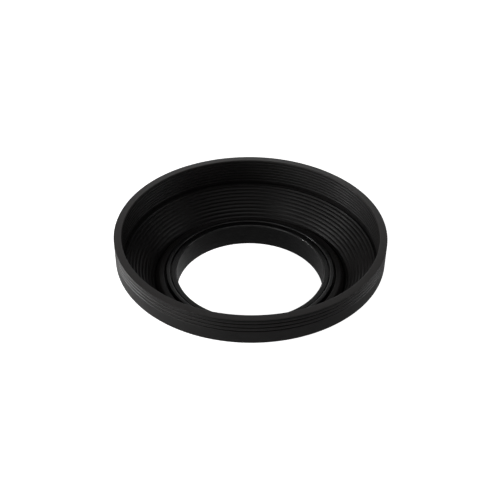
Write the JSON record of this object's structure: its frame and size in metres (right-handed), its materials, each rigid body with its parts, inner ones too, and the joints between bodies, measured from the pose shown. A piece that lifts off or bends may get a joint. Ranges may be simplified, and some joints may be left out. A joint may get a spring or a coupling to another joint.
{
  "type": "collapsible lens hood",
  "caption": "Wide-angle rubber lens hood with stepped cone and grooved rim, which folds back over the lens, on a screw-in metal mount.",
  "frame": {"origin": "centre of the rear end of the thread, on the optical axis", "axes": "+Z along the optical axis, towards the open mouth; X and Y across it"},
  "size_m": [0.086, 0.086, 0.0238],
  "materials": {
    "anodised_metal": "black anodised, satin, a little worn at the front edges",
    "black_rubber": "matte moulded"
  },
  "bodies": {
    "mount": {"mount_ring": "anodised_metal", "retaining_ring": "anodised_metal", "hood_collar": "black_rubber", "hood_cone": "black_rubber"},
    "rim": {"hood_rim": "black_rubber"}
  },
  "joints": [
    {"name": "hood_fold", "type": "slide", "parent": "mount", "child": "rim", "axis": [0, 0, 1], "range_m": [-0.0176, 0], "deforming": ["hood_cone"]}
  ]
}
